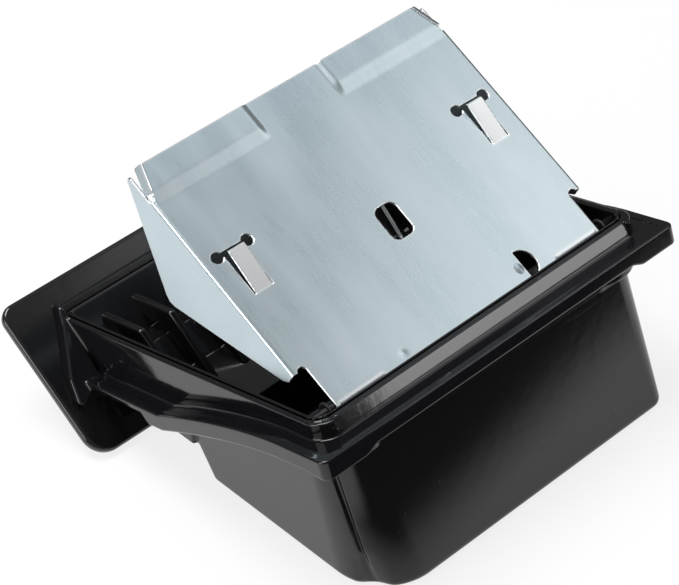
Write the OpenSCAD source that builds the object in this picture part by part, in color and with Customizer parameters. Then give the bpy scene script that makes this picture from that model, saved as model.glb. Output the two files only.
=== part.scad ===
// Drop-in tray: a moulded bin in a stepped rim frame, with a leaning fascia and a sprung steel flap.
// X runs along the near rim, Y from the near rim towards the fascia, Z up from the bin's flat base,
// and the origin is the middle of that base. The bin's mouth leans towards the fascia, so most
// pieces are drawn in the mouth's own frame: y along the mouth, z square to it, and the zero point
// in the middle of the near inner lip.

/* [Mouth] */
// Half of the bin's inner width at the lip
mouth_half = 54.3; // [53:0.1:56]
// Angle between the mouth and the flat base
mouth_tilt = 15; // [14:0.5:16]
// Height of the near inner lip over the base
lip_height = 55.4; // [54:0.1:57]
// Distance from the near inner lip to the fascia's back face
mouth_length = 110.4; // [109:0.1:114]

/* [Bin] */
// Thickness of the bin's wall
bin_wall = 1.3; // [1.2:0.1:1.6]
// Length of the deep part of the bin at its base
base_length = 66; // [64:0.5:68]
// Depth of the shelf's flat ledge in front of the fascia
shelf_depth = 12.5; // [11:0.5:13.5]
// Height of the ribs that stand on the shelf
rib_height = 7; // [5:0.5:8]
// Distance between neighbouring ribs
rib_pitch = 10.7; // [9:0.1:10.9]

/* [Rim frame] */
// Width of the whole flange
flange_width = 126.4; // [124:0.2:129]
// How far the flange reaches in front of the near inner lip
flange_front = 10.5; // [9.5:0.1:12]
// Depth of the near land below the lip
land_depth = 4.8; // [4.5:0.1:5]
// Depth of the land below the lip along the arms
arm_depth = 14.6; // [13:0.1:15]
// Thickness of the flange and the skirt
flange_wall = 1.5; // [1.3:0.1:1.8]
// Height of the skirt below the land
skirt_height = 4.7; // [4:0.1:5.5]
// Extra height of the skirt at its two near corners
corner_drop = 0.9; // [0.5:0.1:2.5]

/* [Fascia] */
// Width of the fascia
fascia_width = 143.2; // [138:0.1:148]
// Height of the fascia
fascia_height = 49.2; // [47:0.1:50]
// Thickness of the fascia
fascia_wall = 3.2; // [3:0.1:4]
// Radius of the fascia's two lower corners
fascia_corner = 7; // [5:0.5:10]
// Lean of the fascia from square to the mouth
fascia_lean = 37.6; // [36:0.1:39]

/* [Flap] */
// Sheet thickness of the flap
sheet = 0.8; // [0.6:0.05:0.9]
// Width of the flap over its side flanges
flap_width = 103.2; // [102:0.1:104]
// Length of the flap from its lower edge to its top edge
flap_length = 81; // [79:0.1:82]
// Angle between the flap and the mouth when it stands open
flap_angle = 43.7; // [42:0.1:46]
// Depth of the side flanges at their deepest corner
flange_depth = 27.4; // [24:0.1:28]

/* [Hinge and spring] */
// Radius of the hinge rod
rod_r = 1.5; // [1.4:0.05:1.6]
// Running clearance between the rod and the flap's knuckles
rod_gap = 0.05; // [0.03:0.01:0.08]
// Radius of the spring's pin
pin_r = 1.25; // [1:0.05:1.5]
// Radius of the spring's wire
wire_r = 0.5; // [0.4:0.05:0.55]
// Turns in the spring's coil
spring_turns = 8; // [6:1:9]

/* [Hidden] */
$fn = 48;

black = "#1a1a1c";
steel = "#b9c3c8";
dark_steel = "#8d9296";

eps = 0.01;
far_out = 200;

// mouth
bin_half = mouth_half + bin_wall;
ring_half = mouth_half + 2.9;
ring_front = 3.4;
lip_corner = 3.4;
lip_step = 0.5;
fascia_run = tan(fascia_lean);

// bin
base_half = 53.7;
base_near = -4.4;
deep_far = base_near + base_length;
base_fillet = 2.5;
near_corner = 9;
// near corners at the base: the left one is a wide sweep, the right one stays tight
base_corners = [17, 4.5];
far_corner = 4;
near_low = 15.5;
shelf_near = 63;
shelf_low = 27;
ramp_low = [84, 21];
ramp_high = 92;
pad_r = 11;
// the upper and the lower end of the groove down the left near corner, and their radii
groove_top = [-52.6, 2.5, -19];
groove_low = [-50.5, 3, -47.6];
groove_top_r = 0.6;
groove_low_r = 1;
lip_band = 2.2;

// ribs
rib_wall = 2.5;
rib_first = 24.6;
rib_count = 3;
rib_start = 86.4;
rib_top = shelf_depth - rib_height;
rib_run = 14;
rib_drop = 21;

// flange
band_width = 2.9;
band_step = 0.4;
land_corner = 2.2;
curl_start = 8;
curl_end = 62;
skirt_end = 72;

// hinge, in the mouth's frame
knuckle_r = rod_r + rod_gap + sheet;
hinge_y = 3.36;
hinge_z = -2.49;
rod_half = bin_half - 0.5;
ring_wall = 0.4;
ring_r = 2.8;
ring_x = 49.2;

// flap, in its own frame: y along the sheet from the rod's axis, z square to it
sheet_top = knuckle_r;
sheet_low = knuckle_r - sheet;
flap_heel = -1.9;
flap_end = flap_heel + flap_length;
heel_half = 48.6;
heel_r = 1.5;
notch_y = 11.7;
bend_r = 1.6;
tab_start = flap_end - 9.2;
tab_rise = 0.8;
tab_in = 13;
tab_out = 50.6;
tab_slant = 3;
tab_lip = 2.6;
tab_lip_length = 8;
knuckle_in = 31;
knuckle_out = 46;
relief = 0.7;
hook_x = 42.05;
hook_end = 47.7;
hook_root = 34.6;
hook_width = 5.4;
hook_rise = 2;
hook_hole_r = 1.6;
hook_spread = 9.9;
lug_x = 21.5;
lug_y = 2.8;
lug_r = 4.3;
window = [7, 10.2];
window_y = 31.4;
window_r = 2.2;

// spring, in the mouth's frame
pin_y = 13;
pin_z = -10.5;
pin_left = -12;
pin_right = 5;
cheek_wall = 2;
coil_r = 2.85;
coil_left = -8;
coil_pitch = 1.12;
coil_steps = 16;
leg_angle = 60;
leg_up = 38;
leg_down = 19.5;

// fascia, in its own frame
fascia_top = 9.3;
top_r = 4.5;
screw_x = 12;
screw_v = -8;
screw_r = 1.1;
screw_head_r = 2.1;
screw_head = 1.3;
screw_bite = 2.4;

// the land's height, as it curls down from the near rim to the arms
function land_z(y) = y < curl_start ? -land_depth
                   : y > curl_end ? -arm_depth
                   : -land_depth - (arm_depth - land_depth)
                     * pow((y - curl_start) / (curl_end - curl_start), 1.55);
// where the curl is cut into straight steps
curl = [for (y = [curl_start : 6 : curl_end]) y];

// the z in the mouth's frame of a point that stands a height over the base's plane
function base_z(y, up) = (up - lip_height + y * sin(mouth_tilt)) / cos(mouth_tilt);

// the offset that puts the middle of the flat base at y = 0
origin_y = -(base_near + deep_far) / 2 * cos(mouth_tilt)
           - (base_z(base_near, 0) + base_z(deep_far, 0)) / 2 * sin(mouth_tilt);

module mouth_frame() {
  translate([0, origin_y, lip_height]) rotate([-mouth_tilt, 0, 0]) children();
}

module flap_frame() {
  mouth_frame() translate([0, hinge_y, hinge_z]) rotate([flap_angle, 0, 0]) children();
}

// x along the fascia, y up it and z out of its back, with zero at the lip's level
module in_fascia() {
  translate([0, mouth_length, 0]) rotate([90 - fascia_lean, 0, 0]) children();
}

module both_sides() {
  for (side = [-1, 1]) scale([side, 1, 1]) children();
}

// an outline in y and z, carried along x over a width
module side_prism(width, points) {
  rotate([90, 0, 90]) linear_extrude(width, center = true) polygon(points);
}

// a plan outline with round near corners, from its near edge to beyond the fascia
module plan(half, near, r) {
  translate([-half, near + r]) square([2 * half, far_out]);
  translate([-half + r, near]) square([2 * (half - r), far_out]);
  for (x = [-half + r, half - r]) translate([x, near + r]) circle(r);
}

module plan_block(half, near, r) {
  translate([0, 0, -60]) linear_extrude(90) plan(half, near, r);
}

module rounded_bar(size, r) {
  square([size[0] - 2 * r, size[1]], center = true);
  square([size[0], size[1] - 2 * r], center = true);
  for (x = [-1, 1]) for (y = [-1, 1])
    translate([x * (size[0] / 2 - r), y * (size[1] / 2 - r)]) circle(r);
}

// a ring with a round section, whose hull is a rounded disc
module tyre(outer, section) {
  rotate_extrude($fn = 32) intersection() {
    translate([outer - section, 0]) circle(section, $fn = 20);
    translate([0, -section]) square(outer + section);
  }
}

// the shallow part above the shelf, cut off by the fascia's plane
module shallow_part(inset) {
  out = bin_wall - inset;
  end = mouth_length - inset / cos(fascia_lean);
  intersection() {
    plan_block(mouth_half + out, -out, lip_corner + out);
    side_prism(3 * far_out, [
      [-9, 10], [-9, -near_low], [shelf_near - 4, -near_low],
      [shelf_near + out, -shelf_low - out], [ramp_low[0] + 0.4 * out, -ramp_low[1] - out],
      [ramp_high + 0.4 * out, -shelf_depth - out],
      [end - (shelf_depth + out) * fascia_run, -shelf_depth - out],
      [end + 10 * fascia_run, 10]]);
  }
}

// the deep part: a drafted box with round corners and a flat base
module deep_part(inset) {
  section = base_fillet - inset;
  far_r = far_corner - inset;
  far_y = deep_far - far_corner;
  top_near = -bin_wall + near_corner;
  top_far = shelf_near + bin_wall - far_corner;
  top = -land_depth - flange_wall - eps;
  hull() for (side = [-1, 1]) {
    corner = base_corners[(side + 1) / 2];
    near_y = base_near + corner;
    translate([side * (base_half - corner), near_y, base_z(near_y, base_fillet)])
      rotate([mouth_tilt, 0, 0]) tyre(corner - inset, section);
    translate([side * (base_half - far_corner), far_y, base_z(far_y, base_fillet)])
      rotate([mouth_tilt, 0, 0]) tyre(far_r, section);
    translate([side * (bin_half - near_corner), top_near, top])
      cylinder(r = near_corner - inset, h = eps, $fn = 32);
    translate([side * (bin_half - far_corner), top_far, -shelf_low])
      cylinder(r = far_r, h = shelf_low + top, $fn = 32);
  }
}

module bin_shell() {
  color(black) mouth_frame() difference() {
    union() {
      difference() {
        union() {
          shallow_part(0);
          deep_part(0);
          corner_pads();
        }
        shallow_part(bin_wall);
        deep_part(bin_wall);
      }
      intersection() {
        union() {
          bin_ribs();
          pin_cheeks();
          corner_groove(bin_wall);
        }
        union() {
          shallow_part(bin_wall / 2);
          deep_part(bin_wall / 2);
        }
      }
      lip_cover();
    }
    translate([-far_out, -far_out, 0]) cube(2 * far_out);
    corner_groove(0);
    rod_bores();
    pin_bore();
    screw_holes(2);
  }
}

// the lip's flat top band, which lies over the frame's ring
module lip_cover() {
  low = lip_step - eps;
  difference() {
    intersection() {
      plan_block(mouth_half + lip_band, -lip_band, lip_corner + lip_band);
      side_prism(far_out, [[-9, -low], [-9, 5], [mouth_length + 5 * fascia_run, 5],
                           [mouth_length - low * fascia_run, -low]]);
    }
    plan_block(mouth_half, 0, lip_corner);
  }
}

// pads under the frame's skirt that locate the bin's near corners
module corner_pads() {
  both_sides() translate([bin_half - near_corner + 0.6, near_corner - bin_wall - 0.6, -near_low])
    cylinder(r = pad_r, h = 4.2);
}

// the groove down the swept near corner, with round ends; more fills its back for the wall's sake
module corner_groove(more) {
  hull() {
    translate(groove_top) sphere(groove_top_r + more, $fn = 24);
    translate(groove_low) sphere(groove_low_r + more, $fn = 24);
  }
}

// ribs on the shelf, whose slanted near ends catch the closing flap
module bin_ribs() {
  far_low = mouth_length - rib_top * fascia_run;
  both_sides() for (i = [0 : rib_count - 1])
    translate([rib_first + i * rib_pitch, 0, 0])
      side_prism(rib_wall, [
        [rib_start, -rib_top], [rib_start - rib_run, -rib_top - rib_drop],
        [ramp_high + 4, -rib_top - rib_drop], [far_low - 10 * fascia_run, -rib_top - 10],
        [far_low, -rib_top]]);
}

// holes in the side walls for the rod's ends, which the frame's ring closes
module rod_bores() {
  both_sides() translate([mouth_half - 1, hinge_y, hinge_z]) rotate([0, 90, 0])
    cylinder(r = rod_r, h = bin_wall + 2);
}

// two webs on the near wall that carry the spring's pin
module pin_cheeks() {
  for (x = [pin_left, pin_right - cheek_wall])
    translate([x, 0, 0]) rotate([90, 0, 90]) linear_extrude(cheek_wall) {
      translate([pin_y, pin_z]) circle(3);
      polygon([[-1, pin_z + 3], [pin_y, pin_z + 3], [pin_y + 2.6, pin_z - 1.5], [-1, -30]]);
    }
}

module pin_bore() {
  translate([pin_left - 1, pin_y, pin_z]) rotate([0, 90, 0])
    cylinder(r = pin_r, h = pin_right - pin_left + 2);
}

module screw_holes(top) {
  both_sides() in_fascia() translate([screw_x, screw_v, -screw_bite])
    cylinder(r = screw_r, h = screw_bite + top);
}

module rim_frame() {
  color(black) mouth_frame() {
    difference() {
      union() {
        frame_ring();
        frame_flange();
        frame_skirt();
        both_sides() frame_neck();
      }
      // the bin's own wall stands inside the ring
      intersection() {
        plan_block(bin_half, -bin_wall, lip_corner + bin_wall);
        side_prism(far_out, [[-9, 20], [-9, -60], [mouth_length - 60 * fascia_run, -60],
                             [mouth_length + 20 * fascia_run, 20]]);
      }
      near_slope();
    }
  }
}

// the raised wall round the mouth
module frame_ring() {
  low = arm_depth + flange_wall;
  intersection() {
    plan_block(ring_half, -ring_front, lip_corner + ring_half - mouth_half);
    side_prism(far_out, concat(
      [[-ring_front - 1, -lip_step], [-ring_front - 1, -land_depth - flange_wall]],
      [for (y = curl) [y, land_z(y) - flange_wall]],
      [[curl_end, -low], [mouth_length - low * fascia_run, -low],
       [mouth_length - lip_step * fascia_run, -lip_step]]));
  }
}

// the ring's near face slopes out from the lip to the land
module near_slope() {
  low = eps - land_depth;
  side_prism(2 * (ring_half - 5), [[-lip_band, 1], [-lip_band, -lip_step], [-ring_front - eps, low], [-9, low],
                                   [-9, 1]]);
}

module frame_flange() {
  outer = flange_width / 2;
  end = mouth_length - arm_depth * fascia_run;
  difference() {
    intersection() {
      plan_block(outer, -flange_front, land_corner + 1);
      side_prism(far_out, concat(
        [[-flange_front - 1, band_step - land_depth], [-flange_front - 1, -land_depth - flange_wall]],
        [for (y = curl) [y, land_z(y) - flange_wall]],
        [[curl_end, -arm_depth - flange_wall], [end - flange_wall * fascia_run, -arm_depth - flange_wall],
         [end + band_step * fascia_run, band_step - arm_depth], [curl_end, band_step - arm_depth]],
        [for (i = [len(curl) - 1 : -1 : 0]) [curl[i], land_z(curl[i]) + band_step]]));
    }
    // the land lies a step below the outer band
    intersection() {
      plan_block(outer - band_width, -flange_front + band_width - 0.5, land_corner);
      side_prism(far_out, concat(
        [[-9, 1], [-9, -land_depth]], [for (y = curl) [y, land_z(y)]],
        [[curl_end, -arm_depth], [end + 4, -arm_depth], [end + 4, 1]]));
    }
  }
}

// the skirt hangs from the flange's edge, and is deeper at the two near corners
module frame_skirt() {
  outer = flange_width / 2;
  low = land_depth + skirt_height;
  near_low_edge = low - 1.1;
  intersection() {
    difference() {
      plan_block(outer, -flange_front, land_corner + 1);
      plan_block(outer - flange_wall, -flange_front + flange_wall, land_corner);
    }
    union() {
      side_prism(far_out, concat(
        [[-flange_front - 1, -land_depth], [-flange_front - 1, -near_low_edge],
         [-flange_front + flange_wall + eps, -near_low_edge],
         [-flange_front + flange_wall + eps, -low - corner_drop], [-5, -low - corner_drop], [-2, -low]],
        [for (y = curl) [y, land_z(y) - skirt_height]],
        [[curl_end, -arm_depth - skirt_height], [skirt_end - 4, -arm_depth - skirt_height + 0.3],
         [skirt_end, -arm_depth], [curl_end, -arm_depth]],
        [for (i = [len(curl) - 1 : -1 : 0]) [curl[i], land_z(curl[i])]]));
      both_sides() translate([0, -flange_front + flange_wall + eps, 0]) rotate([90, 0, 0])
        linear_extrude(flange_wall + 1)
          polygon([[46.5, -near_low_edge], [49.5, -low - corner_drop], [outer + 2, -low - corner_drop],
                   [outer + 2, -land_depth], [46.5, -land_depth]]);
    }
  }
}

// the triangular web between the end of each arm and the fascia
module frame_neck() {
  r = 0.9;
  // each corner: x, depth below the lip and distance in front of the fascia's back
  corners = [[ring_half - r, 2, r], [ring_half + 0.5, arm_depth, 2.6], [67.5, 17.5, r]];
  hull() for (p = corners)
    translate([p[0], mouth_length - p[1] * fascia_run - p[2] * 1.3, -p[1]]) sphere(r, $fn = 24);
}

// the fascia's outline, with rounder lower corners
module fascia_outline() {
  half = fascia_width / 2;
  low_r = fascia_corner;
  low = fascia_top - fascia_height;
  translate([-half + low_r, low]) square([2 * (half - low_r), fascia_height - top_r]);
  translate([-half, low + low_r]) square([2 * half, fascia_height - low_r - top_r]);
  translate([-half + top_r, fascia_top - top_r - 1]) square([2 * (half - top_r), top_r + 1]);
  for (side = [-1, 1]) {
    translate([side * (half - low_r), low + low_r]) circle(low_r);
    translate([side * (half - top_r), fascia_top - top_r]) circle(top_r);
  }
}

module fascia_panel() {
  color(black) mouth_frame() difference() {
    in_fascia() {
      translate([0, 0, -fascia_wall]) linear_extrude(fascia_wall) fascia_outline();
      // the rail that stands behind the bin's far lip
      translate([-ring_half, 0.4, -eps]) cube([2 * ring_half, 2, 2.8]);
    }
    screw_holes(0.5);
  }
}

module fascia_screws() {
  color(dark_steel) mouth_frame() both_sides() in_fascia() translate([screw_x, screw_v, 0]) {
    translate([0, 0, bin_wall]) cylinder(r = screw_head_r, h = screw_head);
    translate([0, 0, 0.3 - screw_bite]) cylinder(r = screw_r, h = screw_bite + bin_wall);
  }
}

module flap_plate() {
  color(steel) flap_frame() difference() {
    union() {
      flap_sheet();
      both_sides() {
        flap_flange();
        flap_tab();
        flap_knuckle();
        flap_hook();
      }
      flap_lug();
    }
    // the rod turns inside the knuckles and clears the lug
    rotate([0, 90, 0]) cylinder(r = rod_r + rod_gap, h = 2 * knuckle_out + 2, center = true);
    translate([lug_x - 3, 0, 0]) rotate([0, 90, 0]) cylinder(r = rod_r + 0.5, h = 4);
  }
}

module flap_sheet() {
  translate([0, 0, sheet_low]) linear_extrude(sheet) difference() {
    union() {
      translate([-heel_half, 0]) square([2 * heel_half, notch_y + 2]);
      translate([-heel_half + heel_r, flap_heel]) square([2 * (heel_half - heel_r), 3]);
      translate([-flap_width / 2 + bend_r, notch_y]) square([flap_width - 2 * bend_r, tab_start - notch_y]);
      // the middle of the top edge runs a sheet's thickness under each raised tab
      translate([-tab_in - sheet, tab_start - 1]) square([2 * (tab_in + sheet), flap_end - tab_start + 0.6]);
      for (x = [-heel_half + heel_r, heel_half - heel_r]) translate([x, flap_heel + heel_r]) circle(heel_r);
    }
    both_sides() {
      // relief in front of each knuckle
      translate([knuckle_in - relief, flap_heel - 1])
        square([knuckle_out - knuckle_in + 2 * relief, 1 - flap_heel]);
      // the slots round each lanced hook
      translate([hook_x, 0]) {
        for (x = [-hook_spread / 2, hook_spread / 2]) translate([x, hook_end]) circle(hook_hole_r);
        translate([-hook_spread / 2, hook_end - 0.5]) square([hook_spread, 1]);
        translate([-hook_width / 2 - 0.2, hook_root]) square([hook_width + 0.4, hook_end - hook_root]);
      }
    }
    translate([0, window_y]) rounded_bar(window, window_r);
    translate([lug_x, lug_y]) intersection() {
      circle(lug_r);
      translate([0, -lug_r]) square([lug_r, 2 * lug_r]);
    }
  }
}

// a side flange with its bend: shallow at the heel and deepest two thirds of the way up
module flap_flange() {
  outer = flap_width / 2;
  high = tab_start - 0.6;
  translate([outer - sheet / 2, 0, 0])
    side_prism(sheet, [
      [notch_y + 0.6, sheet_top - bend_r], [notch_y, sheet_top - 4.4], [notch_y + 1.6, sheet_top - 5.6],
      [50.4, sheet_top - flange_depth + 0.4], [52, sheet_top - flange_depth],
      [53.4, sheet_top - flange_depth + 0.8],
      [flap_end - 0.7, sheet_top - 3.2], [flap_end - 0.5, sheet_top - 2.1], [high, sheet_top - bend_r]]);
  translate([outer - bend_r, high, sheet_top - bend_r]) rotate([90, 0, 0]) linear_extrude(high - notch_y)
    intersection() {
      difference() {
        circle(bend_r);
        circle(bend_r - sheet);
      }
      square(bend_r);
    }
}

// a raised corner tab along the top edge, with its joggle and its narrow turned-down side
module flap_tab() {
  low = sheet_low + tab_rise;
  high = sheet_top + tab_rise;
  intersection() {
    translate([0, 0, -5]) linear_extrude(15)
      polygon([[tab_in, tab_start - 1], [tab_out, tab_start - 1],
               [tab_out - tab_slant, flap_end], [tab_in, flap_end]]);
    side_prism(far_out, [
      [tab_start - 1, sheet_low], [tab_start, sheet_low], [tab_start + 0.9, low], [flap_end, low],
      [flap_end, high], [tab_start + 0.6, high], [tab_start - 0.3, sheet_top], [tab_start - 1, sheet_top]]);
  }
  translate([tab_out - tab_slant, flap_end, high]) rotate([0, 0, atan(tab_slant / (flap_end - tab_start))])
    rotate([0, 40, 0]) translate([-0.4, -tab_lip_length, -0.6]) cube([tab_lip, tab_lip_length, 0.6]);
}

// the sheet rolled round the rod, left open under its end
module flap_knuckle() {
  translate([knuckle_in, 0, 0]) rotate([90, 0, 90]) linear_extrude(knuckle_out - knuckle_in) {
    difference() {
      circle(knuckle_r);
      circle(rod_r + rod_gap);
      polygon([[0, 0], [8, 0.4], [8, sheet_low - 0.05]]);
    }
    translate([0, sheet_low]) square([3, sheet]);
  }
}

// a tongue cut free on three sides and sprung up from the sheet
module flap_hook() {
  end = hook_end - 0.9;
  translate([hook_x, 0, 0])
    side_prism(hook_width, [
      [hook_root - 0.4, sheet_low], [hook_root + 0.2, sheet_low], [end, sheet_low + hook_rise],
      [end, sheet_top + hook_rise], [hook_root, sheet_top], [hook_root - 0.4, sheet_top]]);
}

// the half round lug folded down out of the sheet
module flap_lug() {
  translate([lug_x - sheet / 2, lug_y, 0]) {
    intersection() {
      translate([0, 0, sheet_low]) rotate([0, 90, 0]) cylinder(r = lug_r, h = sheet, center = true);
      translate([0, 0, sheet_low - lug_r]) cube([sheet, 3 * lug_r, 2 * lug_r], center = true);
    }
    side_prism(sheet, [[-lug_r + 0.4, sheet_low - 0.4], [lug_r - 0.4, sheet_low - 0.4],
                       [lug_r - 0.4, sheet_top - 0.1], [-lug_r + 0.4, sheet_top - 0.1]]);
  }
}

module hinge_rod() {
  color(dark_steel) mouth_frame() translate([0, hinge_y, hinge_z]) rotate([0, 90, 0])
    cylinder(r = rod_r, h = 2 * rod_half, center = true);
}

// a retaining ring on the rod between the flap's heel and the cheek
module rod_ring(side) {
  color(dark_steel) mouth_frame() translate([side * ring_x, hinge_y, hinge_z]) rotate([0, 90, 0])
    difference() {
      cylinder(r = ring_r, h = ring_wall, center = true);
      cylinder(r = rod_r, h = ring_wall + 1, center = true);
    }
}

module rod_ring_left() rod_ring(-1);

module rod_ring_right() rod_ring(1);

module spring_pin() {
  color(dark_steel) mouth_frame() translate([pin_left - 0.4, pin_y, pin_z]) rotate([0, 90, 0])
    cylinder(r = pin_r, h = pin_right - pin_left + 0.8);
}

// the wire's centre line: the lower leg, the coil and the upper leg
coil_start = leg_angle + 90;
coil_right = coil_left + coil_pitch * spring_turns;
function coil_point(turn) = [coil_left + coil_pitch * turn,
                             pin_y + coil_r * cos(coil_start - 360 * turn),
                             pin_z + coil_r * sin(coil_start - 360 * turn)];
function leg_point(x, t) = [x, pin_y + coil_r * cos(coil_start) + t * cos(leg_angle),
                               pin_z + coil_r * sin(coil_start) + t * sin(leg_angle)];
spring_path = concat(
  [leg_point(coil_left, -leg_down), leg_point(coil_left, -leg_down / 2)],
  [for (i = [0 : spring_turns * coil_steps]) coil_point(i / coil_steps)],
  [leg_point(coil_right, leg_up / 2), leg_point(coil_right, leg_up)]);

function unit(v) = v / norm(v);
function path_dir(p, i) = unit(p[min(i + 1, len(p) - 1)] - p[max(i - 1, 0)]);

// a round wire swept along a path that never runs straight along x
module wire(p, r) {
  sides = 8;
  last = (len(p) - 1) * sides;
  rings = [for (i = [0 : len(p) - 1])
    let (d = path_dir(p, i), u = unit(cross(d, [1, 0, 0])), v = cross(d, u))
    for (k = [0 : sides - 1]) p[i] + r * (u * cos(360 * k / sides) + v * sin(360 * k / sides))];
  faces = concat(
    [[for (k = [0 : sides - 1]) k], [for (k = [sides - 1 : -1 : 0]) last + k]],
    [for (i = [0 : len(p) - 2]) for (k = [0 : sides - 1])
      [i * sides + k, (i + 1) * sides + k, (i + 1) * sides + (k + 1) % sides]],
    [for (i = [0 : len(p) - 2]) for (k = [0 : sides - 1])
      [i * sides + k, (i + 1) * sides + (k + 1) % sides, i * sides + (k + 1) % sides]]);
  polyhedron(rings, faces);
}

module flap_spring() {
  color(steel) mouth_frame() wire(spring_path, wire_r);
}

bin_shell();
rim_frame();
fascia_panel();
fascia_screws();
flap_plate();
hinge_rod();
rod_ring_left();
rod_ring_right();
spring_pin();
flap_spring();
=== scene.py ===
import math

import bmesh
import bpy
import numpy as np
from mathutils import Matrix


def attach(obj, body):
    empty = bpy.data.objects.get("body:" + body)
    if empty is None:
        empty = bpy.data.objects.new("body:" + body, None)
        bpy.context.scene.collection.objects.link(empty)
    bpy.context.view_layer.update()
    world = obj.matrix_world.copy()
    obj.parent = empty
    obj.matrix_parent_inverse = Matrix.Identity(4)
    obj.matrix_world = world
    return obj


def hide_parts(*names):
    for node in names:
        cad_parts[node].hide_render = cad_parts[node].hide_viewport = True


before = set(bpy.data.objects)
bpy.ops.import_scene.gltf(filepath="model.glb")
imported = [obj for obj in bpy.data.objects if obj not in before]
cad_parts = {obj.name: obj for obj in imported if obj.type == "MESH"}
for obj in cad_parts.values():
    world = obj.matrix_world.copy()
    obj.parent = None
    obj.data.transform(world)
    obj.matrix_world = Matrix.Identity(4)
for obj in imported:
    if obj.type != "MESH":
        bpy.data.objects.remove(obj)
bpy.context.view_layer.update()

import openvdb
from mathutils import Matrix, Vector

# ---------------------------------------------------------------------------
# The bin: one gloss black injection moulding, 1.3 mm thick. A deep drafted box with round
# corners runs under a shallow part that reaches to the fascia over a sloped shelf. Its left
# near corner is a wide sweep with a groove down it, and its lip turns out over the frame.
# ---------------------------------------------------------------------------
MM = 0.001
MOUTH_TILT = math.radians(15)
LIP_HEIGHT = 55.4
MOUTH_Y = -14.765
MOUTH_HALF = 54.3
MOUTH_LENGTH = 110.4
FASCIA_LEAN = math.radians(37.6)
FASCIA_RUN = math.tan(FASCIA_LEAN)

# every moulding is drawn in millimetres, square to the mouth, from the near inner lip
mouth = (Matrix.Translation((0, MOUTH_Y * MM, LIP_HEIGHT * MM))
         @ Matrix.Rotation(-MOUTH_TILT, 4, "X") @ Matrix.Scale(MM, 4))

WALL = 1.3
BIN_HALF = MOUTH_HALF + WALL
LIP_CORNER = 3.4
LIP_BAND = 2.2
LIP_BAND_DEPTH = 0.45

# the deep part, which narrows towards its base
BASE_HALF = 53.7
BASE_NEAR = -4.16
DEEP_FAR = BASE_NEAR + 66
DEEP_TOP = -6.3
BASE_FILLET = 2.5
TOP_CORNER = 9
LEFT_CORNER = 17
RIGHT_CORNER = 4.5
FAR_CORNER = 3.2

# the shallow part: its floor climbs in two slopes to the shelf
LOW_EDGE = 15.5
SHELF_NEAR, SHELF_LOW = 63, 27
SLOPE_Y, SLOPE_LOW = 84, 21
SHELF_Y, SHELF_DEPTH = 92, 12.5

# the hollows of the swept corner: both ends of a round bar, and its radius at each
GROOVE = (-52.6, 2.5, -19), (-50, 3.1, -54), 0.7, 0.3
FLUTE = (-54.9, -0.5, -49), (-52.7, 0.8, -59), 5, 5.2

PAD_R = 11
PAD_SHIFT = 0.6
PAD_HALF = 2.1

HINGE_Y, HINGE_Z = 3.36, -2.49
ROD_R = 1.5
PIN_Y, PIN_Z = 13, -10.5
PIN_R = 1.25
PIN_LEFT, PIN_RIGHT = -12.4, 5.4
WEB_X = (-11, 4)
WEB_HALF = 1
WEB_EDGE = 0.4
WEB_EYE_R = 3

# how softly forms of one moulding run together, and how round its edges are
BLEND = 0.8
EDGE = 0.6
CRISP = 0.3


def height_over_base(y, z):
    """How far a point of the mouth's frame stands over the base."""
    return LIP_HEIGHT - y * math.sin(MOUTH_TILT) + z * math.cos(MOUTH_TILT)


def past_fascia(y, z):
    """How far a point stands past the fascia's face that looks at the mouth."""
    return (y - MOUTH_LENGTH) * math.cos(FASCIA_LEAN) - z * math.sin(FASCIA_LEAN)


def soft_max(a, b, r):
    """Keeps what is inside both, with its outer edges rounded over about r."""
    h = np.maximum(r - np.abs(a - b), 0) / r
    return np.maximum(a, b) + h * h * r / 4


def soft_min(a, b, r):
    """Joins both, with a fillet of about r where they meet."""
    return -soft_max(-a, -b, r)


def round_corner(a, b, r):
    """The corner between two faces, turned on a radius of exactly r."""
    return np.hypot(np.maximum(a + r, 0), np.maximum(b + r, 0)) + np.minimum(np.maximum(a, b), -r)


def plan(x, y, half, near, r):
    """A plan outline with two round near corners, open towards the fascia."""
    return round_corner(np.abs(x) - half, near - y, r)


def outline(y, z, points):
    """Distance from a closed outline, negative inside it."""
    p = np.array(points, float)
    q = np.roll(p, -1, axis=0)
    best = np.full(np.broadcast(y, z).shape, 1e9)
    inside = np.zeros(best.shape, bool)
    for (ay, az), (by, bz) in zip(p, q):
        ey, ez = by - ay, bz - az
        t = np.clip(((y - ay) * ey + (z - az) * ez) / (ey * ey + ez * ez), 0, 1)
        best = np.minimum(best, np.hypot(y - ay - t * ey, z - az - t * ez))
        if az != bz:
            crosses = (az > z) != (bz > z)
            inside ^= crosses & (y < ay + (z - az) * ey / ez)
    return np.where(inside, -best, best)


def cone(x, y, z, a, b, ra, rb):
    """Distance from a round bar that runs from a to b and changes its radius on the way."""
    run = [q - p for p, q in zip(a, b)]
    dx, dy, dz = x - a[0], y - a[1], z - a[2]
    t = np.clip((dx * run[0] + dy * run[1] + dz * run[2]) / sum(v * v for v in run), 0, 1)
    away = (dx - t * run[0]) ** 2 + (dy - t * run[1]) ** 2 + (dz - t * run[2]) ** 2
    return np.sqrt(away) - ra - (rb - ra) * t


def points_of(mesh):
    """The places of a mesh's points, one in each row."""
    co = np.zeros(len(mesh.vertices) * 3)
    mesh.vertices.foreach_get("co", co)
    return co.reshape(-1, 3)


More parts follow.
